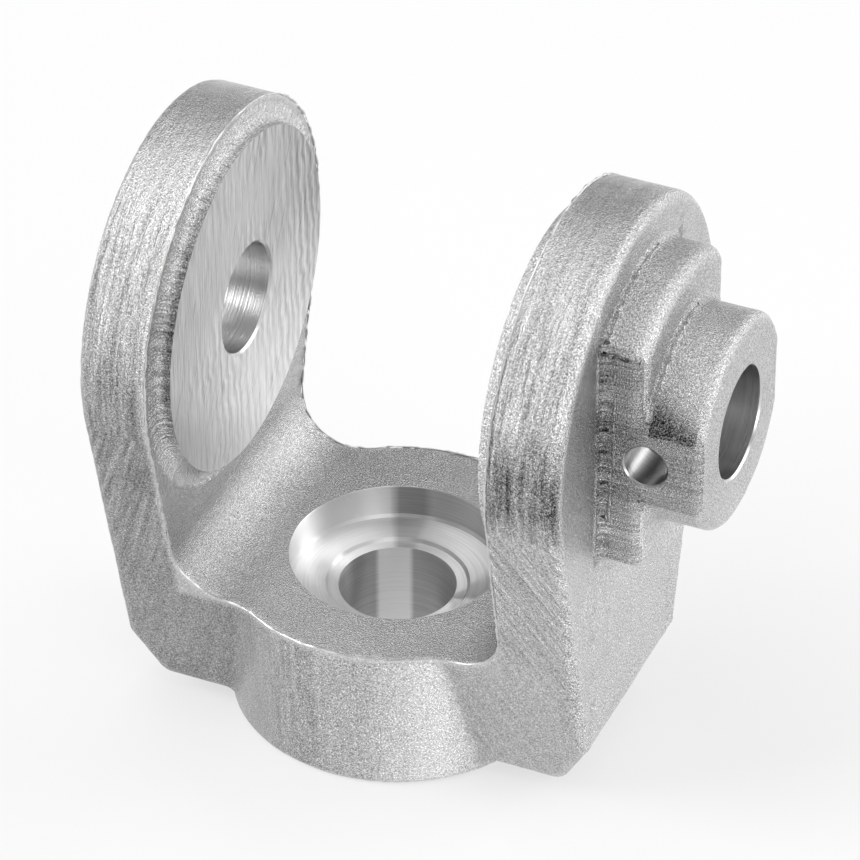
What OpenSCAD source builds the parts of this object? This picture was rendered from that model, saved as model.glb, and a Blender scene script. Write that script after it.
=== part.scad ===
// Pulley block yoke: one casting that holds a sheave between two ears and turns on a swivel bolt.
// The hub stands on the plane z = 0, the swivel bore is on the z axis and the pin bore runs along x.

/* [Body] */
// Thickness of the base web under the gap
web_t = 15.6; // [12:0.2:20]
// How far the hub stands out below the web
hub_drop = 1.8; // [1:0.1:4]
// Clear width between the cast inner faces of the ears
gap_w = 37; // [34:0.5:44]
// Thickness of the plain ear
plain_ear_t = 7.6; // [5:0.1:10]
// Thickness of the ear that carries the pin boss
boss_ear_t = 8.4; // [6:0.1:11]
// Radius of the inner corners between ears and web
inner_corner_r = 6; // [3:0.25:7]
// Width of the sloped outer bottom corners
low_corner_w = 3.4; // [2:0.1:5]
// Height of the sloped outer bottom corners
low_corner_h = 6; // [3:0.1:8]
// Radius that softens both ends of the sloped corners
low_corner_r = 2; // [1:0.1:3]

/* [Ears] */
// Height of the pin axis above the top of the web
pin_axis_h = 28; // [26:0.5:40]
// Radius of the round head of each ear
ear_r = 21.5; // [20.5:0.25:24]
// Angle at which the ear's edges draw in below the head
ear_taper = 14.25; // [8:0.25:15]
// Radius of the outer edge of each ear
ear_edge_r = 1.1; // [0.6:0.1:2]

/* [Milled faces] */
// Clear width between the two milled faces
sheave_gap_w = 34; // [31:0.5:36]
// Diameter of the milled faces
milled_d = 37.2; // [30:0.2:38]
// Radius of the corner at the foot of the milled bosses
milled_foot_r = 1.1; // [0.5:0.1:1.4]

/* [Pin boss] */
// Diameter of the wide step of the pin boss
step_d = 33.6; // [30:0.2:36]
// Height of the wide step above the ear
step_h = 4.9; // [3:0.1:7]
// Radius of the edge of the wide step
step_edge_r = 1.5; // [0.5:0.1:2]
// Diameter of the nose
nose_d = 23; // [22:0.2:26]
// Height of the nose above the wide step
nose_h = 6.2; // [5.5:0.1:12]
// Radius of the edge of the nose
nose_edge_r = 1; // [0.4:0.1:1.5]
// Width across the two flats of the pin boss
flats_w = 21.8; // [19:0.2:21.8]
// Radius of the corners at the foot of both steps
step_foot_r = 1; // [0.5:0.1:1.2]

/* [Hub] */
// Diameter of the hub at the top of the web
hub_top_d = 37.2; // [34:0.2:40]
// Diameter of the hub at its underside
hub_low_d = 35.6; // [32:0.2:38]
// Radius that softens the lower edge of the hub
hub_edge_r = 0.8; // [0.3:0.1:1.5]

/* [Machining] */
// Diameter of the pin bore
pin_bore_d = 12; // [8:0.5:14]
// Width of the broken edges of the pin bore
bore_break = 0.25; // [0.1:0.05:0.5]
// Diameter of the cross hole through the pin boss
cross_hole_d = 4.6; // [3:0.1:5]
// How far the cross hole's axis lies behind the face of the nose
cross_hole_in = 6.1; // [4.5:0.1:7.1]
// Diameter of the swivel bore
swivel_bore_d = 12.6; // [10:0.2:14]
// Diameter of the seat round the swivel bore
seat_d = 23; // [20:0.5:25]
// Depth of the seat below the top of the web
seat_depth = 4; // [2:0.25:6]
// Diameter of the shallow dish in the floor of the seat
dish_d = 15.4; // [15:0.2:18]
// Depth of the shallow dish
dish_depth = 0.35; // [0.1:0.05:0.6]

/* [Hidden] */
$fn = 96;
slack = 1;
arc_bite = 0.0005;
web_top = hub_drop + web_t;
pin_z = web_top + pin_axis_h;
left_x = -gap_w / 2 - plain_ear_t;
right_x = gap_w / 2 + boss_ear_t;
step_x = right_x + step_h;
nose_x = step_x + nose_h;
taper_len = pin_z / cos(ear_taper) + ear_r;
top_z = pin_z + ear_r + slack;
cross_x = nose_x - cross_hole_in;

// Removes the tip of a convex corner at the origin whose sides leave at angles a0 and a1.
// The arc reaches past both sides by arc_bite, so that it meets them at a clean point.
module corner_tip(a0, a1, r) {
    half = (a1 - a0) / 2;
    mid = (a0 + a1) / 2;
    reach = r / tan(half);
    centre = [cos(mid), sin(mid)] * (r - arc_bite) / sin(half);
    difference() {
        polygon([
            [cos(a0), sin(a0)] * reach,
            centre,
            [cos(a1), sin(a1)] * reach,
            [cos(mid), sin(mid)] * -r
        ]);
        translate(centre)
            circle(r);
    }
}

// Fills a hollow corner at the origin that opens towards +x and +y
module hollow_corner(r) {
    difference() {
        translate([-slack, -slack])
            square(r + slack);
        translate([r, r])
            circle(r);
    }
}

// Front view of the U: ears, web, rounded inner corners and sloped outer corners
module u_profile() {
    slope = atan(low_corner_h / low_corner_w);
    difference() {
        polygon([
            [left_x, hub_drop + low_corner_h],
            [left_x + low_corner_w, hub_drop],
            [right_x - low_corner_w, hub_drop],
            [right_x, hub_drop + low_corner_h],
            [right_x, top_z],
            [left_x, top_z]
        ]);
        for (side = [0, 1])
            translate([side * (left_x + right_x), 0])
                mirror([side, 0]) {
                    translate([left_x, hub_drop + low_corner_h])
                        corner_tip(-slope, 90, low_corner_r);
                    translate([left_x + low_corner_w, hub_drop])
                        corner_tip(0, 180 - slope, low_corner_r);
                }
        difference() {
            translate([-gap_w / 2, web_top])
                square([gap_w, top_z]);
            for (side = [0, 1])
                mirror([side, 0])
                    translate([-gap_w / 2, web_top])
                        hollow_corner(inner_corner_r);
        }
    }
}

// Section through the rim of both ears, with the distance from the pin axis along x
module rim_section() {
    difference() {
        translate([0, left_x])
            square([ear_r, right_x - left_x]);
        translate([ear_r, left_x])
            corner_tip(90, 180, ear_edge_r);
        translate([ear_r, right_x])
            corner_tip(180, 270, ear_edge_r);
    }
}

// Block with the side view of the ears: round head, tapered edges, rounded outer rims
module side_envelope() {
    column_w = ear_r / 2;
    translate([0, 0, pin_z])
        rotate([0, 90, 0]) {
            rotate([0, 0, 90 - ear_taper])
                rotate_extrude(angle = 180 + 2 * ear_taper)
                    rim_section();
            for (side = [0, 1])
                mirror([0, side, 0])
                    rotate([0, 0, 90 - ear_taper])
                        rotate([90, 0, 0])
                            linear_extrude(taper_len)
                                difference() {
                                    rim_section();
                                    translate([-slack, left_x - slack])
                                        square([column_w / 2 + slack, right_x - left_x + 2 * slack]);
                                }
            translate([0, -column_w / 2, left_x])
                cube([taper_len, column_w, right_x - left_x]);
        }
}

// The U-shaped body
module u_body() {
    intersection() {
        rotate([90, 0, 0])
            linear_extrude(3 * ear_r, center = true)
                u_profile();
        side_envelope();
    }
}

// Round boss with a hollow foot on the inner face of an ear, before milling
module milled_boss() {
    boss_h = (gap_w - sheave_gap_w) / 2;
    translate([-gap_w / 2, 0, pin_z])
        rotate([0, 90, 0])
            rotate_extrude()
                difference() {
                    union() {
                        translate([0, -slack])
                            square([milled_d / 2, boss_h + slack]);
                        translate([milled_d / 2, 0])
                            hollow_corner(milled_foot_r);
                    }
                    translate([milled_d / 2 - slack, boss_h])
                        square(milled_foot_r + 2 * slack);
                }
}

// Half section of one step of the pin boss, standing on y = 0 with a root below it
module step_section(r, h, root, edge, foot) {
    difference() {
        union() {
            translate([0, -root])
                square([r, h + root]);
            if (foot > 0)
                translate([r, 0])
                    hollow_corner(foot);
        }
        translate([r, h])
            corner_tip(180, 270, edge);
    }
}

// One step of the pin boss: round, with a flat in front and at the back
module flatted_step(x0, r, h, root, edge, foot, flat_foot) {
    translate([x0, 0, pin_z])
        intersection() {
            rotate([0, 90, 0])
                rotate_extrude()
                    step_section(r, h, root, edge, foot);
            linear_extrude(4 * r, center = true)
                rotate(-90)
                    for (side = [0, 1])
                        mirror([side, 0])
                            step_section(flats_w / 2, h, root, edge, flat_foot);
        }
}

// The stepped boss that holds the end of the pin: the flats run on from the wide step to the nose
module pin_boss() {
    flatted_step(right_x, step_d / 2, step_h, slack, step_edge_r, step_foot_r, step_foot_r);
    flatted_step(step_x, nose_d / 2, nose_h, step_h + slack, nose_edge_r, step_foot_r, 0);
}

// Slightly tapered hub with a softened lower edge
module hub() {
    draft = atan((hub_top_d - hub_low_d) / 2 / web_top);
    rotate_extrude()
        difference() {
            polygon([[0, 0], [hub_low_d / 2, 0], [hub_top_d / 2, web_top], [0, web_top]]);
            translate([hub_low_d / 2, 0])
                corner_tip(90 - draft, 180, hub_edge_r);
        }
}

// Bore along x with broken edges at both mouths
module pin_bore() {
    far = nose_x + slack;
    translate([left_x - slack, 0, pin_z])
        rotate([0, 90, 0])
            cylinder(d = pin_bore_d, h = far - left_x + slack);
    for (mouth = [[left_x, 1], [-sheave_gap_w / 2, -1], [sheave_gap_w / 2, 1], [nose_x, -1]])
        translate([mouth[0], 0, pin_z])
            rotate([0, 90 * mouth[1], 0])
                translate([0, 0, -bore_break])
                    cylinder(d1 = pin_bore_d + 4 * bore_break, d2 = pin_bore_d, h = 2 * bore_break);
}

// Seat, dish and through bore of the swivel
module swivel_bore() {
    translate([0, 0, -slack])
        cylinder(d = swivel_bore_d, h = web_top + 2 * slack);
    translate([0, 0, web_top - seat_depth])
        cylinder(d = seat_d, h = seat_depth + slack);
    translate([0, 0, web_top - seat_depth - dish_depth])
        cylinder(d1 = swivel_bore_d - slack, d2 = dish_d, h = dish_depth);
}

module yoke() {
    color("silver")
        difference() {
            union() {
                u_body();
                hub();
                milled_boss();
                mirror([1, 0, 0])
                    milled_boss();
                pin_boss();
            }
            pin_bore();
            swivel_bore();
            translate([cross_x, 0, pin_z])
                rotate([90, 0, 0])
                    cylinder(d = cross_hole_d, h = flats_w + 2 * slack, center = true);
        }
}

yoke();
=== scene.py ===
import math

import bmesh
import bpy
import numpy as np
from mathutils import Matrix, Vector


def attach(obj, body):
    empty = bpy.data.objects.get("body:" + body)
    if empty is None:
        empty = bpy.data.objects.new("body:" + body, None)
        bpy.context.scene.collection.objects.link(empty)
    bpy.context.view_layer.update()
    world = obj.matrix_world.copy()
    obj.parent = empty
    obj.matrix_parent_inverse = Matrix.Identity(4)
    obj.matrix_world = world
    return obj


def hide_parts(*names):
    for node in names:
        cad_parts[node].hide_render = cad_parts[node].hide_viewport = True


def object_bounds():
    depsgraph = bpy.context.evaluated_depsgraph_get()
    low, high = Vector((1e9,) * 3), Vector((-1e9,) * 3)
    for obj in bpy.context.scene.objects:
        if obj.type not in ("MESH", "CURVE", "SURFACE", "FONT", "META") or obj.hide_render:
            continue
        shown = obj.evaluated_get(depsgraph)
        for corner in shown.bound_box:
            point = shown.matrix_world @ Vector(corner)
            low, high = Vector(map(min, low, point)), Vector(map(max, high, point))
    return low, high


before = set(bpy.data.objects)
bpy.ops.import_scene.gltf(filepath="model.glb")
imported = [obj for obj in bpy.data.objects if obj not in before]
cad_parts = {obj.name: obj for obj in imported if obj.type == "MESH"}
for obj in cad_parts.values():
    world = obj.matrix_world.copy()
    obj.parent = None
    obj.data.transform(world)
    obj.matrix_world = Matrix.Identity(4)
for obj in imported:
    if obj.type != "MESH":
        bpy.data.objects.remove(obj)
cad_low, cad_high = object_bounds()

# The rough casting: ears, web, hub and bosses, poured as one piece of aluminium with every corner rounded.
# It is laid out as a distance field in millimetres, below nought inside the metal, and taken off as one
# closed skin.
MM = 0.001
LEFT_X, RIGHT_X, GAP_X, PIN_Z = -26.1, 26.9, 18.5, 45.4
EAR_R, EAR_TAPER, EAR_EDGE_R = 21.5, math.radians(14.25), 1.1
WEB_LOW, WEB_TOP, INNER_CORNER_R = 1.8, 17.4, 6
LOW_CORNER_W, LOW_CORNER_H, LOW_CORNER_R = 3.4, 6, 2
HUB_R, HUB_FLARE, HUB_EDGE_R, HUB_FOOT_R = 17.8, 0.8, 0.8, 0.9
FACE_X, FACE_R, FACE_STOCK, FACE_FOOT_R = 17, 18.6, 0.5, 1.1
STEP_X, STEP_R, STEP_EDGE_R = 31.8, 16.8, 1.5
NOSE_X, NOSE_R, NOSE_EDGE_R = 38.0, 11.5, 1.0
FLAT_Y, BOSS_FOOT_R = 10.9, 1.0
GRID, INSET = 0.45, 0.05
SWELL_CELLS = 48
swells = np.random.default_rng(11).uniform(-1, 1, (SWELL_CELLS,) * 3)


def joined(a, b, r):
    """Both shapes as one, with a hollow of radius r where they meet."""
    return np.maximum(r, np.minimum(a, b)) - np.hypot(np.maximum(r - a, 0), np.maximum(r - b, 0))


def common(a, b, r):
    """What two shapes share, with an edge rounded to r where their faces meet."""
    return -joined(-a, -b, r)


def outline(u, v, lines, r):
    """Distance to a convex outline with corners of radius r.

    A line is the angle of its outward normal and a point on it.
    """
    rows = [(math.cos(a), math.sin(a), p * math.cos(a) + q * math.sin(a) - r) for a, (p, q) in lines]
    ends = []
    for (a, b, c), (d, e, f) in zip(rows[-1:] + rows[:-1], rows):
        ends.append(((c * e - b * f) / (a * e - b * d), (a * f - c * d) / (a * e - b * d)))
    inside = rows[0][0] * u + rows[0][1] * v - rows[0][2]
    for a, b, c in rows[1:]:
        inside = np.maximum(inside, a * u + b * v - c)
    outside = np.full(np.shape(inside), np.inf)
    for (p, q), (s, t) in zip(ends, ends[1:] + ends[:1]):
        along = ((u - p) * (s - p) + (v - q) * (t - q)) / ((s - p) ** 2 + (t - q) ** 2)
        along = np.clip(along, 0, 1)
        outside = np.minimum(outside, np.hypot(u - p - along * (s - p), v - q - along * (t - q)))
    return np.where(inside > 0, outside, inside) - r


def swell(x, y, z, size):
    """Smooth random relief from -1 to 1 in swells about size millimetres wide."""
    total = 0.0
    parts = []
    for c, shift in ((x, 40.3), (y, 61.7), (z, 20.9)):
        c = (c + shift) / size
        base = np.floor(c)
        part = c - base
        parts.append((base.astype(int), part * part * (3 - 2 * part)))
    (i, p), (j, q), (k, r) = parts
    for di in (0, 1):
        for dj in (0, 1):
            for dk in (0, 1):
                share = (p if di else 1 - p) * (q if dj else 1 - q) * (r if dk else 1 - r)
                cell = (i + di) % SWELL_CELLS, (j + dj) % SWELL_CELLS, (k + dk) % SWELL_CELLS
                total = total + share * swells[cell]
    return total


def side_view(y, z):
    """Distance to the side outline of the ears: a round head with edges that draw in below it."""
    y, up = np.abs(y), z - PIN_Z
    edge = y * math.cos(EAR_TAPER) - up * math.sin(EAR_TAPER)
    return np.where(up > -y * math.tan(EAR_TAPER), np.hypot(y, up), edge) - EAR_R


def shell(x, y, z):
    """Distance to the ears, web and hub as one block, before the gap between the ears."""
    slope = math.atan2(LOW_CORNER_W, LOW_CORNER_H)
    above_corner, above_head = WEB_LOW + LOW_CORNER_H, 90
    front = outline(x, z, [
        (math.pi, (LEFT_X, 0)),
        (math.pi + slope, (LEFT_X, above_corner)),
        (1.5 * math.pi, (0, WEB_LOW)),
        (2 * math.pi - slope, (RIGHT_X, above_corner)),
        (0, (RIGHT_X, 0)),
        (0.5 * math.pi, (0, above_head)),
    ], LOW_CORNER_R)
    body = common(front, side_view(y, z), EAR_EDGE_R)
    hub = common(np.hypot(x, y) - (HUB_R + HUB_FLARE * z / WEB_TOP), -z, HUB_EDGE_R)
    return joined(body, np.maximum(hub, z - WEB_TOP - 1), HUB_FOOT_R)


def gap(x, y, z):
    """Distance to the space between the ears, with its rounded corners and the draft of its right side."""
    draft, draft_low, draft_h = 0.5, 24, 25
    drawn_back = np.where(x > 0, draft * np.clip((z - draft_low) / draft_h, 0, 1), 0)
    across = np.abs(x) - (GAP_X + drawn_back - INNER_CORNER_R)
    down = WEB_TOP + INNER_CORNER_R - z
    round_part = np.hypot(np.maximum(across, 0), np.maximum(down, 0))
    return round_part + np.minimum(np.maximum(across, down), 0) - INNER_CORNER_R + y * 0


def casting(x, y, z):
    """Distance in millimetres to the skin of the casting."""
    inner_edge = 0.3
    body = common(shell(x, y, z), -gap(x, y, z), inner_edge)
    from_pin = np.hypot(y, z - PIN_Z)
    face_end = np.maximum(FACE_X - FACE_STOCK - np.abs(x), np.abs(x) - GAP_X - 2)
    body = joined(body, np.maximum(from_pin - FACE_R, face_end), FACE_FOOT_R)

    flat = np.abs(y) - FLAT_Y
    front_corner, rear_corner = 0.3, 1.5
    corner = np.where(y > 0, rear_corner, front_corner)
    step = common(common(from_pin - STEP_R, flat, corner), x - STEP_X, STEP_EDGE_R)
    nose = common(common(from_pin - NOSE_R, flat, front_corner), x - NOSE_X, NOSE_EDGE_R)
    boss = joined(step, nose, np.clip(-flat, 0, BOSS_FOOT_R))
    body = joined(body, np.maximum(boss, RIGHT_X - 3 - x), BOSS_FOOT_R)

    wide_waves, small_waves, ragged_waves = 0.035, 0.02, 0.09
    ragged = np.clip(1.5 - np.abs(x - RIGHT_X - 0.6), 0, 1) * np.clip(1.6 - np.abs(flat - 0.3), 0, 1)
    relief = wide_waves * swell(x, y, z, 4.5)
    relief = relief + (small_waves + ragged_waves * ragged) * swell(x, y, z, 1.1)
    return body + INSET + relief


def skin_of(field, low, high, step):
    """Corners and four-sided faces of the surface where field is nought, with crisp edges kept."""
    nudge, calm, leeway = 0.02, 0.05, 0.6 * step
    axes = [np.arange(a, b + step, step) for a, b in zip(low, high)]
    value = field(*np.meshgrid(*axes, indexing="ij", sparse=True))
    shape = np.array(value.shape)
    unit = np.eye(3, dtype=int)
    points, cells, faces = [], [], []
    for axis in range(3):
        keep = [slice(1, -1)] * 3
        keep[axis] = slice(0, -1)
        first = value[tuple(keep)]
        keep[axis] = slice(1, None)
        second = value[tuple(keep)]
        start = np.argwhere((first < 0) != (second < 0))
        at = tuple(start.T)
        v0, v1 = first[at], second[at]
        start[:, [a for a in range(3) if a != axis]] += 1
        base = np.stack([axes[a][start[:, a]] for a in range(3)], 1)
        t = v0 / (v0 - v1)
        for _ in range(2):
            found = base + (t * step)[:, None] * unit[axis]
            miss = field(*found.T)
            same = (miss < 0) == (v0 < 0)
            t = np.clip(t - miss * np.where(same, (1 - t) / (v1 - miss), t / (miss - v0)), 0, 1)
        points.append(base + (t * step)[:, None] * unit[axis])
        b, c = unit[(axis + 1) % 3], unit[(axis + 2) % 3]
        ring = np.stack([start, start - b, start - b - c, start - c], 1)
        ring = np.ravel_multi_index(tuple(ring.reshape(-1, 3).T), shape).reshape(-1, 4)
        cells.append(ring)
        faces.append(np.where((v0 < 0)[:, None], ring, ring[:, ::-1]))
    point, cell, face = np.vstack(points), np.vstack(cells), np.vstack(faces)
    slopes = []
    for axis in range(3):
        aside = nudge * unit[axis]
        slopes.append(field(*(point + aside).T) - field(*(point - aside).T))
    normal = np.stack(slopes, 1)
    normal /= np.linalg.norm(normal, axis=1)[:, None]
    used, slot = np.unique(cell, return_inverse=True)
    slot = slot.reshape(-1)
    p, n = np.repeat(point, 4, 0), np.repeat(normal, 4, 0)
    count = np.bincount(slot)

    def gathered(w):
        return np.bincount(slot, w)

    middle = np.stack([gathered(p[:, a]) / count for a in range(3)], 1)
    off = np.sum(n * (p - middle[slot]), 1)
    square = np.stack([[gathered(n[:, a] * n[:, b]) for a in range(3)] for b in range(3)])
    square = np.moveaxis(square, 2, 0) + calm * np.eye(3)
    pull = np.stack([gathered(n[:, a] * off) for a in range(3)], 1)
    corner = middle + np.clip(np.linalg.solve(square, pull[:, :, None])[:, :, 0], -leeway, leeway)
    return corner, np.searchsorted(used, face)


low_corner, high_corner = (-27.1, -22.6, -0.9), (39.1, 22.6, 68.1)
corner, face = skin_of(casting, low_corner, high_corner, GRID)
rough = bpy.data.meshes.new("yoke_casting")
rough.from_pydata(corner * MM, [], face)
yoke = bpy.data.objects.new("yoke_casting", rough)
bpy.context.scene.collection.objects.link(yoke)

# The cast and shot-blasted skin: dull light grey aluminium with a fine grain and a few pits. The rims and the
# flats of the boss carry streaks, which follow values that the finished mesh holds at its corners.


class Wire:
    """One socket of a node tree, on which sums can be written. node() adds any other node to the tree."""

    def __init__(self, tree, socket=None):
        self.tree, self.socket = tree, socket

    def node(self, kind, settings, inputs, output=0):
        made = self.tree.nodes.new(kind)
        for name, value in settings.items():
            setattr(made, name, value)
        for name, value in inputs.items():
            if isinstance(value, Wire):
                self.tree.links.new(value.socket, made.inputs[name])
            else:
                made.inputs[name].default_value = value
        return Wire(self.tree, made.outputs[output] if made.outputs else None)

    def math(self, operation, *others, clamp=False):
        settings = {"operation": operation, "use_clamp": clamp}
        return self.node("ShaderNodeMath", settings, dict(enumerate((self, *others))))

    def __add__(self, other):
        return self.math("ADD", other)

    def __sub__(self, other):
        return self.math("SUBTRACT", other)

    def __rsub__(self, other):
        return self.math("MULTIPLY_ADD", -1.0, other)

    def __mul__(self, other):
        return self.math("MULTIPLY", other)

    __radd__, __rmul__ = __add__, __mul__


def metal(name):
    """A new metal material: its tree, and the place on the piece in millimetres."""
    made = bpy.data.materials.new(name)
    made.use_nodes = True
    made.node_tree.nodes.clear()
    tree = Wire(made.node_tree)
    place = tree.node("ShaderNodeTexCoord", {}, {}, "Object")
    return made, tree, tree.node("ShaderNodeVectorMath", {"operation": "SCALE"}, {0: place, "Scale": 1 / MM})


def noise(tree, place, scale, detail=2.0, roughness=0.5):
    """Even noise round 0.5 at a place."""
    inputs = {"Vector": place, "Scale": scale, "Detail": detail, "Roughness": roughness}
    return tree.node("ShaderNodeTexNoise", {}, inputs)


def held(tree, name):
    """A value that the mesh holds under this name."""
    return tree.node("ShaderNodeAttribute", {"attribute_name": name}, {}, "Fac")


def split(tree, place):
    """The three coordinates of a place."""
    xyz = tree.node("ShaderNodeSeparateXYZ", {}, {"Vector": place}).socket.node
    return [Wire(tree.tree, xyz.outputs[axis]) for axis in "XYZ"]


def placed(tree, x, y, z):
    """A place made of three coordinates."""
    return tree.node("ShaderNodeCombineXYZ", {}, {"X": x, "Y": y, "Z": z})


def finished(tree, colour, roughness, height, drawn=0.0):
    """Ends a metal material.

    It takes a grey, its roughness, a relief in millimetres and how far the lay draws out the shine.
    """
    bump = tree.node("ShaderNodeBump", {}, {"Height": height, "Distance": MM, "Strength": 1.0})
    inputs = {"Base Color": colour, "Roughness": roughness, "Metallic": 1.0, "Normal": bump}
    inputs.update({"Anisotropic": drawn, "Anisotropic Rotation": 0.25})
    shader = tree.node("ShaderNodeBsdfPrincipled", {}, inputs)
    tree.node("ShaderNodeOutputMaterial", {}, {"Surface": shader})


cast_skin, tree, place = metal("cast_skin")
lay, streaky, edge = held(tree, "lay"), held(tree, "streaky"), held(tree, "edge")
painted_light, coarse = held(tree, "painted_light"), held(tree, "coarse")
_, y_mm, z_mm = split(tree, place)
grain = noise(tree, place, 6.0, 2.0, 0.6)
lumps = noise(tree, place, 1.3, 2.0, 0.5)
clouds = noise(tree, place, 0.16, 2.0, 0.5)
slow = 0.06
streaks = noise(tree, placed(tree, lay + lumps * 0.35, y_mm * slow, z_mm * slow), 1.7, 3.0, 0.6)
pits = tree.node("ShaderNodeTexVoronoi", {}, {"Vector": place, "Scale": 1.1}, "Distance")
pits = (0.14 - pits).math("MULTIPLY", 7.0, clamp=True)
height = grain * (0.12 + coarse * 0.04 + streaky * 0.03) + lumps * 0.05
height = height + (streaks - 0.5) * streaky * 0.8 - pits * 0.05
# Painted light and shade: held light and dark patches, a painted highlight on outward bends, painted shade in
# hollows.
colour = 0.54 + painted_light + (grain - 0.5) * (0.8 + coarse * 0.4) + (streaks - 0.5) * streaky * 0.9
colour = colour + (clouds - 0.5) * 0.1 + edge * 0.17 - pits * 0.22
finished(tree, colour, 0.2 + grain * 0.1, height)
yoke.data.materials.append(cast_skin)

# The parting flash: a thin ragged line of bare metal where the mould's parts met. It stands along the inner
# edges of the ears and the web, all the way round, and a node tree grows it along its path.


def worked(piece, other, operation, finish):
    """Joins the other body to the piece or cuts it out, and gives the new faces the finish."""
    other.data.materials.clear()
    other.data.materials.append(finish)
    bpy.context.scene.collection.objects.link(other)
    step = piece.modifiers.new("step", "BOOLEAN")
    step.object, step.operation, step.solver = other, operation, "MANIFOLD"
    step.material_mode = "TRANSFER"
    shape = bpy.data.meshes.new_from_object(piece.evaluated_get(bpy.context.evaluated_depsgraph_get()))
    piece.modifiers.clear()
    piece.data = shape
    bpy.data.objects.remove(other)


line_tree = bpy.data.node_groups.new("line_along_path", "GeometryNodeTree")
asks = {}
for name, kind in (
    ("Path", "Geometry"),
    ("Thickness", "Float"),
    ("Spacing", "Float"),
    ("Waver", "Float"),
    ("Seed", "Float"),
    ("Finish", "Material"),
):
    ask = line_tree.interface.new_socket(name, in_out="INPUT", socket_type="NodeSocket" + kind)
    asks[name] = ask.identifier
line_tree.interface.new_socket("Line", in_out="OUTPUT", socket_type="NodeSocketGeometry")
tree = Wire(line_tree)
given = line_tree.nodes.new("NodeGroupInput")
given = {name: Wire(line_tree, given.outputs[name]) for name in asks}
path = tree.node("GeometryNodeMeshToCurve", {}, {"Mesh": given["Path"]})
path = tree.node("GeometryNodeResampleCurve", {"mode": "LENGTH"}, {"Curve": path, "Length": given["Spacing"]})
here = tree.node("GeometryNodeInputPosition", {}, {})
wide = {"Vector": here, "W": given["Seed"], "Scale": 550.0, "Detail": 2.0}
fine = {"Vector": here, "W": given["Seed"] + 5.0, "Scale": 1500.0, "Detail": 2.0}
sway = tree.node("ShaderNodeTexNoise", {"noise_dimensions": "4D"}, wide, "Color")
sway = tree.node("ShaderNodeVectorMath", {"operation": "SUBTRACT"}, {0: sway, 1: (0.5, 0.5, 0.5)})
sway = tree.node("ShaderNodeVectorMath", {"operation": "SCALE"}, {0: sway, "Scale": given["Waver"]})
path = tree.node("GeometryNodeSetPosition", {}, {"Geometry": path, "Offset": sway})
swelling = tree.node("ShaderNodeTexNoise", {"noise_dimensions": "4D"}, fine)
swelling = (swelling * 6.0 - 2.0).math("MAXIMUM", 0.2)
ring = tree.node("GeometryNodeCurvePrimitiveCircle", {}, {"Resolution": 6, "Radius": given["Thickness"]})
inputs = {"Curve": path, "Profile Curve": ring, "Scale": swelling, "Fill Caps": True}
line = tree.node("GeometryNodeCurveToMesh", {}, inputs)
line = tree.node("GeometryNodeRealizeInstances", {}, {"Geometry": line})
line = tree.node("GeometryNodeSetMaterial", {}, {"Geometry": line, "Material": given["Finish"]})
tree.node("NodeGroupOutput", {}, {"Line": line})

edge_metal, tree, place = metal("edge_metal")
finished(tree, (0.64, 0.64, 0.64, 1), 0.35, noise(tree, place, 4.0) * 0.05)


def line_along(name, points, closed, thickness, waver, seed):
    """A thin uneven line of metal along the points, in millimetres, grown by the node tree."""
    ends = [(i, i + 1) for i in range(len(points) - 1)] + [(len(points) - 1, 0)] * closed
    shape = bpy.data.meshes.new(name)
    shape.from_pydata(np.array(points) * MM, ends, [])
    grown = bpy.data.objects.new(name, shape)
    bpy.context.scene.collection.objects.link(grown)
    step = grown.modifiers.new("line", "NODES")
    step.node_group = line_tree
    values = {
        "Thickness": thickness * MM,
        "Spacing": 0.35 * MM,
        "Waver": waver * MM,
        "Seed": seed,
        "Finish": edge_metal,
    }
    for ask, value in values.items():
        step[asks[ask]] = value
    shape = bpy.data.meshes.new_from_object(grown.evaluated_get(bpy.context.evaluated_depsgraph_get()))
    bpy.data.objects.remove(grown)
    return bpy.data.objects.new(name, shape)


def slope_of(field, at):
    """The gradient of a field at each row of at."""
    nudge = 0.01
    rises = [field(*(at + nudge * n).T) - field(*(at - nudge * n).T) for n in np.eye(3)]
    return np.stack(rises, 1) / (2 * nudge)


# A rough path round half of the front, which is then drawn onto the edge where the gap meets the outer skin.
bow = np.radians(np.arange(90, -math.degrees(EAR_TAPER), -2.0))
half = [(-GAP_X, -EAR_R * math.cos(a), PIN_Z + EAR_R * math.sin(a)) for a in bow]
half += [(-GAP_X, -17, z) for z in np.arange(40, 24, -1.0)]
corner_x, corner_z = GAP_X - INNER_CORNER_R, WEB_TOP + INNER_CORNER_R
for a in np.radians(np.arange(0, 90, 10)):
    half.append((-corner_x - INNER_CORNER_R * math.cos(a), -15, corner_z - INNER_CORNER_R * math.sin(a)))
half += [(x, -16, WEB_TOP) for x in np.arange(-corner_x, -9, 0.5)]
half += [(18.5 * math.sin(a), -18.5 * math.cos(a), WEB_TOP) for a in np.radians(np.arange(-28, 1, 2))]
half = np.array(half)
front = np.vstack([half, half[-2:0:-1] * (-1, 1, 1)])
for _ in range(6):
    out, across = slope_of(shell, front), slope_of(gap, front)
    front -= gap(*front.T)[:, None] * across
    out -= across * np.sum(out * across, 1)[:, None]
    front -= (shell(*front.T) + INSET)[:, None] * out / np.sum(out * out, 1)[:, None]
loop = np.vstack([front, front[::-1] * (1, -1, 1)])
worked(yoke, line_along("parting_flash", loop, True, 0.09, 0.4, 3.0), "UNION", edge_metal)

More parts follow.
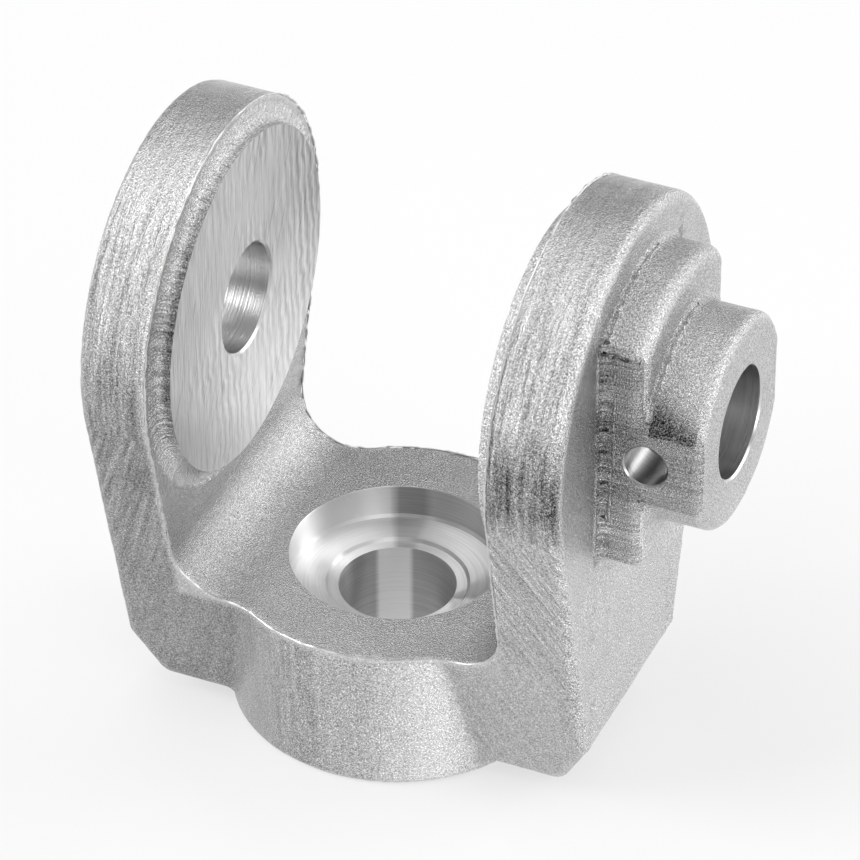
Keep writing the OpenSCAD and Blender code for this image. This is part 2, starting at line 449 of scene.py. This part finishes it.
# Marks in the cast skin, left by the mould and by handling: a groove along the foot of both boss steps,
# a raised line, a crack and small notches on the front flat, and a scrape on the hub.
for name, foot, rise, low in (("step_foot", RIGHT_X, 17.05, 38), ("nose_foot", STEP_X, 11.75, 65)):
    sweep = np.radians(np.arange(low, -16, -3.0))
    groove = np.array([(foot + 0.26, -rise * math.sin(a), PIN_Z + rise * math.cos(a)) for a in sweep])
    for _ in range(3):
        out = slope_of(casting, groove)
        groove -= casting(*groove.T)[:, None] * out / np.sum(out * out, 1)[:, None]
    worked(yoke, line_along(name, groove, False, 0.24, 0.1, rise), "DIFFERENCE", cast_skin)
flat_lap = [
    (28.4, -10.88, 57.4),
    (28.5, -10.86, 52.0),
    (28.4, -10.86, 48.5),
    (28.5, -10.86, 44.0),
    (28.1, -10.86, 38.5),
    (28.2, -10.88, 33.2),
]
worked(yoke, line_along("flat_lap", flat_lap, False, 0.12, 0.8, 7.0), "UNION", cast_skin)
crack = [(27.1, -10.95, 58.1), (28.4, -10.85, 58.0), (29.7, -10.75, 57.85), (31.0, -10.4, 57.7)]
worked(yoke, line_along("crack", crack, False, 0.3, 0.3, 2.0), "DIFFERENCE", cast_skin)
notches = (
    (27.3, 55.5, 0.5),
    (27.1, 52.3, 0.4),
    (27.8, 48.8, 0.6),
    (28.9, 49.2, 0.5),
    (27.2, 46.0, 0.4),
    (27.6, 42.3, 0.5),
    (27.2, 38.0, 0.5),
)
for number, (x, z, reach) in enumerate(notches):
    notch = [(x - reach, -10.95, z - 0.1), (x, -10.85, z + 0.05), (x + reach, -10.9, z - 0.05)]
    worked(yoke, line_along("notch", notch, False, 0.2, 0.5, number * 1.7), "DIFFERENCE", cast_skin)
scrape = [
    (10.6, -15.62, 17.3),
    (11.05, -15.32, 16.3),
    (11.64, -14.87, 14.85),
    (11.7, -14.8, 13.6),
    (11.72, -14.75, 12.4),
    (12.3, -14.3, 10.5),
]
worked(yoke, line_along("scrape", scrape, False, 0.2, 0.6, 4.0), "DIFFERENCE", cast_skin)

# The two milled faces that the sheave runs between: flat rounds of bare aluminium on the inside of the ears.
# The mill leaves wavy upright lines, with chatter on part of the face and a few scratches across it.
TURNED_SIDES = 192


def tool(name, profile, origin, axis):
    """A closed turned body whose axis runs through origin. The profile gives distance along it and radius."""
    turn = np.linspace(0, 2 * math.pi, TURNED_SIDES, endpoint=False)
    along, r = np.array(profile).T
    rings = np.stack([
        np.outer(r, np.cos(turn)),
        np.outer(r, np.sin(turn)),
        np.repeat(along[:, None], TURNED_SIDES, 1),
    ], 2).reshape(-1, 3)
    faces = []
    for ring in range(len(profile) - 1):
        for i in range(TURNED_SIDES):
            a, b = ring * TURNED_SIDES + i, ring * TURNED_SIDES + (i + 1) % TURNED_SIDES
            faces.append((a, b, b + TURNED_SIDES, a + TURNED_SIDES))
    faces.append(tuple(range(TURNED_SIDES))[::-1])
    faces.append(tuple(range(len(rings) - TURNED_SIDES, len(rings))))
    shape = bpy.data.meshes.new(name)
    shape.from_pydata(rings, [], faces)
    turned = Vector(axis).to_track_quat("Z", "Y").to_matrix().to_4x4()
    shape.transform(Matrix.Scale(MM, 4) @ Matrix.Translation(origin) @ turned)
    return bpy.data.objects.new(name, shape)


milled_face, tree, place = metal("milled_face")
_, y_mm, z_mm = split(tree, place)
sway = noise(tree, place, 0.35, 2.0, 0.5)
fine = noise(tree, placed(tree, y_mm * 5.0 + sway, z_mm * 0.14, 0.0), 1.0, 3.0, 0.65)
chatter = (y_mm * 4.3 + z_mm * 0.25 + sway * 9.0).math("SINE")
patchy = noise(tree, place, 0.09, 1.0, 0.5)
chatter = chatter * (y_mm * 0.05 + patchy * 3.0 - 1.0).math("MULTIPLY", 1.0, clamp=True)
across = noise(tree, placed(tree, y_mm * 3.0 - z_mm * 1.6, y_mm * 0.05 + z_mm * 0.1, 0.0), 1.0, 1.0, 0.5)
scratches = ((across - 0.63) * 14.0).math("MULTIPLY", 1.0, clamp=True)
# Painted shading: the face is made lighter towards the bottom and darker towards the rear.
low = ((50.0 - z_mm) * 0.1).math("MULTIPLY", 0.19, clamp=True)
rear_painted_shade = y_mm.math("MULTIPLY", 0.011, clamp=True)
colour = 0.58 + low - rear_painted_shade + (fine - 0.5) * 0.8 + chatter * 0.12 - scratches * 0.17
finished(tree, colour, 0.28 + fine * 0.1, fine * 0.09 + chatter * 0.035 - scratches * 0.008)
CUTTER_R, CUTTER_LIFT = 19.7, 3
cutter_profile = [(0, CUTTER_R), (CUTTER_LIFT, CUTTER_R)]
for side in (-1, 1):
    cutter = tool("face_mill", cutter_profile, (side * FACE_X, 0, PIN_Z), (-side, 0, 0))
    worked(yoke, cutter, "DIFFERENCE", milled_face)

# The bores: reamed through both ears and the boss for the pin, and drilled across the boss for the cross pin.
# The swivel bore and its seat are turned in the hub and are brighter. All have fine rings and broken edges.
walls = []
for name, base, gloss, depth, drawn in (
    ("reamed_wall", 0.62, 0.24, 0.035, 0.0),
    ("turned_wall", 0.78, 0.38, 0.02, 0.97),
):
    wall, tree, place = metal(name)
    x_mm, y_mm, _ = split(tree, place)
    slow = 0.02
    rings = noise(tree, placed(tree, held(tree, "lay"), x_mm * slow, y_mm * slow), 5.0, 3.0, 0.65)
    finished(tree, base + held(tree, "painted_light") + (rings - 0.5) * 0.4, gloss + rings * 0.1, rings * depth, drawn)
    walls.append(wall)
reamed_wall, turned_wall = walls
PIN_R, PIN_BREAK = 6, 0.25
left_profile = [
    (LEFT_X - 1, PIN_R + 1 + PIN_BREAK),
    (LEFT_X + PIN_BREAK, PIN_R),
    (-FACE_X - PIN_BREAK, PIN_R),
    (-FACE_X + 2 - PIN_BREAK, PIN_R + 2),
]
right_profile = [
    (FACE_X - 2 + PIN_BREAK, PIN_R + 2),
    (FACE_X + PIN_BREAK, PIN_R),
    (NOSE_X - PIN_BREAK, PIN_R),
    (NOSE_X + 1, PIN_R + 1 + PIN_BREAK),
]
for name, profile in (("left_reamer", left_profile), ("right_reamer", right_profile)):
    worked(yoke, tool(name, profile, (0, 0, PIN_Z), (1, 0, 0)), "DIFFERENCE", reamed_wall)
CROSS_X, CROSS_R, CROSS_BREAK = 31.9, 2.3, 0.2
cross_profile = [
    (-FLAT_Y - 1, CROSS_R + 1.1),
    (-FLAT_Y + CROSS_BREAK, CROSS_R),
    (FLAT_Y - CROSS_BREAK, CROSS_R),
    (FLAT_Y + 1, CROSS_R + 1.1),
]
worked(yoke, tool("cross_drill", cross_profile, (CROSS_X, 0, PIN_Z), (0, 1, 0)), "DIFFERENCE", reamed_wall)
SWIVEL_R, SWIVEL_BREAK = 6.3, 0.2
SEAT_R, SEAT_FLOOR, SEAT_BREAK, DISH_R, DISH_FLOOR, TURNED_CORNER = 11.5, 13.4, 0.1, 7.7, 13.05, 0.3
swivel_profile = [
    (-1, SWIVEL_R + 1.1),
    (SWIVEL_BREAK, SWIVEL_R),
    (DISH_FLOOR, SWIVEL_R),
    (DISH_FLOOR, DISH_R - TURNED_CORNER),
    (SEAT_FLOOR, DISH_R),
    (SEAT_FLOOR, SEAT_R - TURNED_CORNER),
    (SEAT_FLOOR + TURNED_CORNER, SEAT_R),
    (WEB_TOP - SEAT_BREAK, SEAT_R),
    (WEB_TOP - SEAT_BREAK + 1, SEAT_R + 1),
]
worked(yoke, tool("swivel_cutter", swivel_profile, (0, 0, 0), (0, 0, 1)), "DIFFERENCE", turned_wall)

# Fettling: loose chips left by the cutting are taken off, turned edges stay crisp, and the piece is held
# inside the solid's box. Every point then gets the value edge, high where the skin bends outwards and low in
# hollows; the skin's colour uses it as a painted highlight on the bends and painted shade in the hollows.
whole = bmesh.new()
whole.from_mesh(yoke.data)
reached, waiting = set(), [next(iter(whole.verts))]
while waiting:
    point = waiting.pop()
    if point not in reached:
        reached.add(point)
        waiting += [rim.other_vert(point) for rim in point.link_edges]
chips = [point for point in whole.verts if point not in reached]
bmesh.ops.delete(whole, geom=chips, context="VERTS")
wall_slots = [list(yoke.data.materials).index(wall) for wall in walls]
crease = 0.09
for rim in whole.edges:
    on_wall = all(face.material_index in wall_slots for face in rim.link_faces)
    if on_wall and rim.calc_face_angle(0) > crease:
        rim.smooth = False
whole.to_mesh(yoke.data)
whole.free()
shape = yoke.data
at = np.zeros(len(shape.vertices) * 3)
shape.vertices.foreach_get("co", at)
at = at.reshape(-1, 3) / MM
at = np.clip(at, np.array(cad_low) / MM, np.array(cad_high) / MM)
shape.vertices.foreach_set("co", (at * MM).ravel())
around = sum(casting(*(at + side * GRID * step).T) for side in (-1, 1) for step in np.eye(3)) / 6
bend_light_and_shade = shape.attributes.new("edge", "FLOAT", "POINT")
bend_light_and_shade.data.foreach_set("value", np.clip((around - casting(*at.T)) * 8, -1, 1))

# Streaks, grain and painted light and shade on the skin, held at the face corners. The value lay runs across
# the streaks, streaky is how deep they are, a third value makes the metal lighter or darker as painted light
# and shade, and coarse roughens its grain.


def above(value, limit, width):
    """Rises from 0 at the limit to 1 at width above it."""
    return np.clip((value - limit) / width, 0, 1)


def below(value, limit, width):
    """Rises from 0 at the limit to 1 at width below it."""
    return np.clip((limit - value) / width, 0, 1)


def near(value, middle, width):
    """1 at the middle, down to 0 at width from it."""
    return np.clip(1 - np.abs(value - middle) / width, 0, 1)


corner_point = np.zeros(len(shape.loops), int)
shape.loops.foreach_get("vertex_index", corner_point)
sides = np.zeros(len(shape.polygons), int)
shape.polygons.foreach_get("loop_total", sides)
finish_of = np.zeros(len(shape.polygons), int)
shape.polygons.foreach_get("material_index", finish_of)
finish_of = np.repeat(finish_of, sides)
centre = np.zeros(len(shape.polygons) * 3)
shape.polygons.foreach_get("center", centre)
centre = np.repeat(centre.reshape(-1, 3) / MM, sides, 0)
x, y, z = at[corner_point].T
cx, cy, cz = centre.T

# The rims of the ears: streaks along the round head, slanting ones below it, painted shade on their lower
# lengths and painted light near their tops.
tangent_z = PIN_Z - EAR_R * math.sin(EAR_TAPER)
slant = np.where(cx < 0, x * 0.94 - z * 0.33, x * 0.85 + z * 0.5)
lay_value = np.where(cz > tangent_z, x, slant)
off_side = np.abs(side_view(y, z))
off_top = above(np.maximum(np.abs(x) - GAP_X, WEB_TOP - 0.4 - z), 0, 0.4) * above(z, 0.1, 0.5)
on_rim = below(off_side, 0.8, 0.5) * off_top
streaky_value = on_rim * np.where(z > tangent_z, below(z, 68, 8), np.clip((z - 12) / 22, 0.2, 0.8))
left_rim_light_and_shade = 0.18 * below(z, 53, 6) - 0.1 * near(z, 64, 10)
right_rim_light_and_shade = 0.33 * below(z, 54, 6) * above(z, 40, 4) - 0.04 * near(z, 61, 5)
painted_light_value = -np.where(x < 0, left_rim_light_and_shade, right_rim_light_and_shade) * on_rim
# Painted light: the low part of the right ear's outer face and of the boss is made lighter.
painted_light_value += 0.1 * below(z, PIN_Z - 2, 9) * above(x, RIGHT_X - 1, 0.8)

# The hub: upright streaks, deepest to the left of its front, a painted highlight on its right front and
# painted shade on its left.
HUB_MID_R, HUB_HALF_W = 18.3, 15
off_hub = np.abs(np.hypot(x, y) - HUB_R - HUB_FLARE * z / WEB_TOP)
on_hub = np.clip(0.5 + off_side - off_hub, 0, 1) * off_top * (np.abs(cx) < HUB_HALF_W)
turn = np.degrees(np.arctan2(x, -y))
hub_light_and_shade = 0.36 * near(turn, 38, 26) - 0.08 * below(turn, 0, 10)
by_hub = np.abs(np.hypot(cx, cy) - HUB_MID_R) < np.abs(side_view(cy, cz))
hub_lay = np.arctan2(x, np.abs(y)) * HUB_MID_R
lay_value = np.where((np.abs(cx) < HUB_HALF_W) & by_hub, hub_lay, lay_value)
streaky_value += (0.15 + 0.4 * near(turn, -12, 14) - streaky_value) * on_hub
painted_light_value += (hub_light_and_shade - painted_light_value) * on_hub

# The foot of the milled faces: short ribs that point away from the pin, made lighter, with a painted shadow
# along the left one.
foot_out_r = 20.6
foot_side = (np.abs(cx) > FACE_X - 0.1) & (np.abs(cx) < GAP_X + 0.1)
at_foot = foot_side & (np.hypot(cy, cz - PIN_Z) < foot_out_r)
lay_value = np.where(at_foot, np.arctan2(z - PIN_Z, -y) * 28, lay_value)
ribs = np.clip(1.7 - np.abs(z - 47) / 12, 0.15, 1.1) * np.where(x < 0, 1, 0.3)
streaky_value = np.where(at_foot, ribs, streaky_value)
shadow = np.clip(1.6 - np.abs(z - 51) / 10, 0.2, 1) * above(x, -18.1, 0.5) * (x < 0)
painted_light_value = np.where(at_foot, 0.16 - 0.4 * shadow, painted_light_value)

# The flats of the boss: level streaks, painted shade on the flats, painted shade in the crack, and painted
# shade on the nose above the front flat.
on_flat = (np.abs(np.abs(cy) - FLAT_Y) < 0.6) & (cx > RIGHT_X - 0.2) & (np.abs(cz - PIN_Z) < 14)
lay_value = np.where(on_flat, z * 1.3, lay_value)
streaky_value = np.where(on_flat, 0.5 + 0.6 * below(x, 28.2, 1), streaky_value)
# Painted shade on the flats, less of it towards their bottom.
painted_light_value = np.where(on_flat, -0.17 + 0.12 * below(z, 42, 6), painted_light_value)
# Painted shade in the crack.
on_crack = (np.abs(z - 57.9) < 0.25) & (np.abs(x - 29.1) < 2.1) & (y < -10.3)
painted_light_value = np.where(on_crack, -0.32, painted_light_value)
# Painted shade on the nose, above the front flat.
above_flat = z - PIN_Z - 3.7
on_nose = (cx > STEP_X + 0.3) & (cx < NOSE_X - 0.8) & (np.hypot(cy, cz - PIN_Z) > 10)
nose_painted_shade = -0.42 * np.clip(1.9 - above_flat / 2.6 - (x - STEP_X) * 0.16, 0, 1)
painted_light_value = np.where(on_nose & (cy < 0) & (above_flat > 0), nose_painted_shade, painted_light_value)

# The bores: rings round each axis, bands of painted highlight and painted shade round the swivel bore and its
# seat in place of reflections, and painted shade in the cross bore.
turned = np.isin(finish_of, wall_slots)
on_pin = np.hypot(cy, cz - PIN_Z) < 7
at_swivel = (cz < 20) & ~on_pin
rings_at = np.where(on_pin, x - np.hypot(y, z - PIN_Z), np.where(cz < 20, z - np.hypot(x, y), y))
lay_value = np.where(turned, rings_at, lay_value)
# The painted reflections are laid round the hub from the side the camera looks from.
band_x, band_y = 0.918, 0.397
around_hub = np.degrees(np.arctan2(band_x * x + band_y * y, band_x * y - band_y * x))
bore_turns = (-75, -45, -23, -18, 11, 16, 35, 60)
bore_painted_reflections = (0, -0.22, -0.26, 0.22, 0.22, -0.26, -0.18, -0.05)
seat_turns = (-150, -80, -5, 1, 14, 19, 60)
seat_painted_reflections = (0, 0.3, 0.24, -0.32, -0.32, -0.08, -0.05)
in_seat = np.interp(around_hub, seat_turns, seat_painted_reflections) * np.where(np.abs(cz - 15.4) < 1.9, 1, 0.6)
in_bore = np.interp(around_hub, bore_turns, bore_painted_reflections)
swivel_painted_reflection = np.where(np.hypot(cx, cy) < SWIVEL_R + 0.5, in_bore, in_seat)
# Painted shade inside the cross bore.
in_cross = (np.hypot(cx - CROSS_X, cz - PIN_Z) < 2.4) & (np.abs(cy) > 5.5)
painted_light_value = np.where(turned, np.where(at_swivel, swivel_painted_reflection, -0.22 * in_cross), painted_light_value)

# The coarser grain of the boss, the low right face, the hub and the rims.
coarse_value = above(cx, 24, 2) + 1.2 * below(z, 36, 6) * (cx > RIGHT_X - 1) + at_foot * 1.5
coarse_value += on_hub * 2.2 * above(turn, -30, 20) + on_rim * (1 - on_hub) * 1.2 * below(z, 64, 6)
for name, values in (
    ("lay", lay_value),
    ("streaky", streaky_value),
    ("painted_light", painted_light_value),
    ("coarse", coarse_value),
):
    shape.attributes.new(name, "FLOAT", "CORNER").data.foreach_set("value", values.astype(np.float32))
for side in shape.polygons:
    side.use_smooth = True
turned_edges = np.zeros(len(shape.edges), bool)
shape.edges.foreach_get("use_edge_sharp", turned_edges)
shape.set_sharp_from_angle(angle=math.radians(32))
cast_edges = np.zeros(len(shape.edges), bool)
shape.edges.foreach_get("use_edge_sharp", cast_edges)
shape.edges.foreach_set("use_edge_sharp", cast_edges | turned_edges)
shape.update()
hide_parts("yoke")
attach(yoke, "root")

# The floor: a wide pale sheet that the yoke stands on. The camera and bright metal see it part paint and part
# plain white, so that it keeps the yoke's shadow.
FLOOR_HALF = 4
floor = bpy.data.objects.new("floor", bpy.data.meshes.new("floor"))
floor_corners = [(i * FLOOR_HALF, j * FLOOR_HALF, 0) for i, j in ((-1, -1), (1, -1), (1, 1), (-1, 1))]
floor.data.from_pydata(floor_corners, [], [(0, 1, 2, 3)])
bpy.context.scene.collection.objects.link(floor)
pale = bpy.data.materials.new("pale_floor")
pale.use_nodes = True
pale.node_tree.nodes.clear()
tree = Wire(pale.node_tree)
inputs = {"Base Color": (0.82, 0.82, 0.82, 1), "Roughness": 0.9, "Specular IOR Level": 0.1}
paint = tree.node("ShaderNodeBsdfPrincipled", {}, inputs)
white = tree.node("ShaderNodeEmission", {}, {"Color": (1, 1, 1, 1), "Strength": 1.0})
ray = tree.node("ShaderNodeLightPath", {}, {}).socket.node.outputs
rays = Wire(tree.tree, ray["Is Camera Ray"]) + Wire(tree.tree, ray["Is Glossy Ray"])
rays = rays + Wire(tree.tree, ray["Is Transmission Ray"])
white_share = 0.6
share = (rays * white_share).math("MINIMUM", white_share)
seen = tree.node("ShaderNodeMixShader", {}, {0: share, 1: paint, 2: white})
tree.node("ShaderNodeOutputMaterial", {}, {"Surface": seen})
floor.data.materials.append(pale)

# The light: soft boxes round the piece at an even distance, in a dim white room. Each box is given by the way
# it lies from the piece and its height above the horizon, both in degrees, and by its power.
room = bpy.data.worlds.new("room")
bpy.context.scene.world = room
room.use_nodes = True
room.node_tree.nodes["Background"].inputs["Color"].default_value = (1, 1, 1, 1)
room.node_tree.nodes["Background"].inputs["Strength"].default_value = 0.3


def direction(turn, lift):
    """The way to a point at these degrees round from the front and up from the floor."""
    turn, lift = math.radians(turn), math.radians(lift)
    return Vector((math.sin(turn) * math.cos(lift), -math.cos(turn) * math.cos(lift), math.sin(lift)))


LIT_POINT, BOX_DISTANCE, LOW_LIFT = Vector((0.004, 0, 0.03)), 0.95, 30
for turn, lift, power in (
    (60, 8, 3.6),
    (140, 8, 1.9),
    (120, 30, 2.2),
    (300, 30, 5.1),
    (60, 52, 0.7),
    (165, 52, 1.5),
    (0, 72, 0.9),
    (270, 72, 2.1),
):
    name = f"box_{turn}_{lift}"
    lamp = bpy.data.lights.new(name, "AREA")
    lamp.shape, lamp.size, lamp.energy = "RECTANGLE", 0.6, power
    lamp.size_y = 0.4 if lift < LOW_LIFT else 0.5
    away = direction(turn, lift)
    box = bpy.data.objects.new(name, lamp)
    box.location = LIT_POINT + away * BOX_DISTANCE
    box.rotation_mode = "QUATERNION"
    box.rotation_quaternion = away.to_track_quat("Z", "Y")
    bpy.context.scene.collection.objects.link(box)

# The camera: a long lens in front of the piece, to its right and above it. Its place was fitted to the round
# edges of the bores, the milled face and the rims.
CAMERA_TURN, CAMERA_LIFT, CAMERA_DISTANCE = 23.416, 36.391, 0.609986
back = direction(CAMERA_TURN, CAMERA_LIFT)
right = Vector((math.cos(math.radians(CAMERA_TURN)), math.sin(math.radians(CAMERA_TURN)), 0))
up = back.cross(right)
lens = bpy.data.cameras.new("camera")
lens.sensor_width, lens.lens = 36, 245.52
lens.clip_start, lens.clip_end = 0.05, 20
camera = bpy.data.objects.new("camera", lens)
spot = Vector((0.003744, 0, 0.034428)) + back * CAMERA_DISTANCE
camera.matrix_world = Matrix.Translation(spot) @ Matrix((right, up, back)).transposed().to_4x4()
bpy.context.scene.collection.objects.link(camera)
bpy.context.scene.camera = camera
bpy.context.scene.view_settings.view_transform = "Standard"
